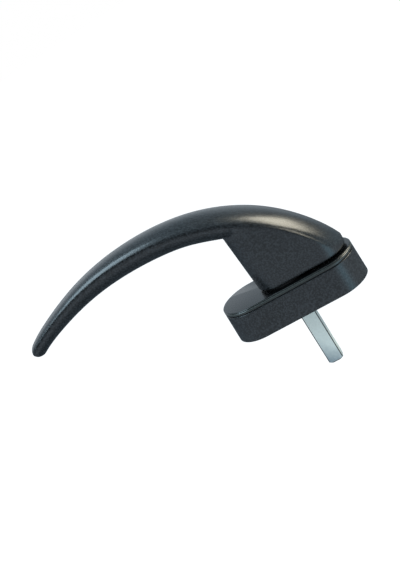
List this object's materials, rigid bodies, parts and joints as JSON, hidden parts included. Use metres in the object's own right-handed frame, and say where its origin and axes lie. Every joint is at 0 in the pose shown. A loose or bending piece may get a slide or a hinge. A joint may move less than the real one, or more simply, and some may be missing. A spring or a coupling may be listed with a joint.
{
  "type": "window handle",
  "caption": "Black window handle: a curved lever on a neck, a slim rounded rosette with a swivelling cover plate, and a square spindle behind it.",
  "frame": {"origin": "on the spindle's axis, in the plane of the rosette's back face, midway between the two fixing holes", "axes": "+Z out of the window into the room, the rosette and the lever lie along X, the lever's tip points to -X"},
  "size_m": [0.1513, 0.028, 0.0972],
  "materials": {
    "black_paint": "die-cast aluminium with a black satin powder coat",
    "zinc_steel": "bright zinc plate",
    "zinc_sheet": "zinc-plated sheet",
    "spring_steel": "oiled spring steel",
    "nylon": "black nylon"
  },
  "bodies": {
    "rosette": {"base": "black_paint", "back_plate": "zinc_sheet", "plate_screw_left": "zinc_steel", "plate_screw_right": "zinc_steel", "bearing_bush": "nylon", "leaf_spring_front": "spring_steel", "leaf_spring_rear": "spring_steel"},
    "lever": {"grip": "black_paint", "slide_ring": "nylon", "spindle": "zinc_steel", "spindle_pin": "spring_steel", "detent_cam": "zinc_steel", "thrust_washer": "zinc_sheet", "disc_spring": "spring_steel", "retaining_ring": "spring_steel"},
    "cover": {"cover_plate": "black_paint"}
  },
  "joints": [
    {"name": "grip_turn", "type": "hinge", "parent": "rosette", "child": "lever", "pos_m": [0, 0, 0], "axis": [0, 0, 1], "continuous": true, "deforming": ["leaf_spring_front", "leaf_spring_rear"]},
    {"name": "cover_swivel", "type": "hinge", "parent": "rosette", "child": "cover", "pos_m": [0, 0, 0], "axis": [0, 0, 1], "range_deg": [-90, 90]}
  ]
}
